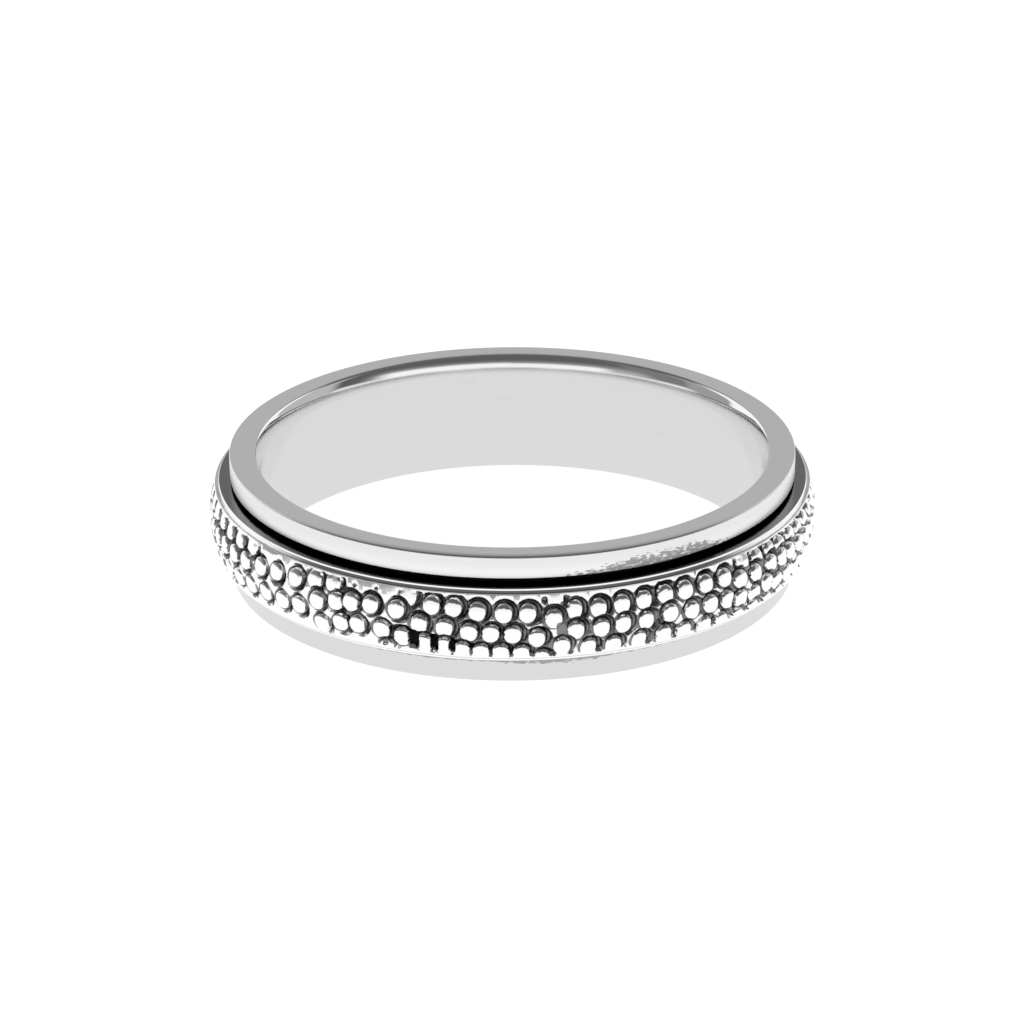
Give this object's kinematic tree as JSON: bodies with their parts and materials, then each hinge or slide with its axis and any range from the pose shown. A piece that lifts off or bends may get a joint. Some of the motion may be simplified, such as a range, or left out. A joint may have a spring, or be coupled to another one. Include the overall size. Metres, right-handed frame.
{
  "type": "spinner ring",
  "caption": "Finger ring whose fixed band has two flanges round a channel, in which a loose domed band with a stamped pebble pattern turns freely.",
  "frame": {"origin": "centre of the lower flange's outer face, on the ring's axis, with the ring lying on its side", "axes": "+Z along the ring's axis, up through the finger hole; +X to the right and -Y to the front of the stamped repeat's middle; the ring is round, so X and Y only fix where the pattern starts"},
  "size_m": [0.0218, 0.0218, 0.0046],
  "materials": {
    "polished_silver": "polished sterling silver with fine wear scratches",
    "stamped_silver": "polished sterling silver, blackened in the grooves of the stamped pattern"
  },
  "bodies": {
    "band": {"inner_band": "polished_silver"},
    "spinner": {"spinner_band": "stamped_silver"}
  },
  "joints": [
    {"name": "spinner_spin", "type": "hinge", "parent": "band", "child": "spinner", "pos_m": [0, 0, 0.00231], "axis": [0, 0, 1], "continuous": true}
  ]
}
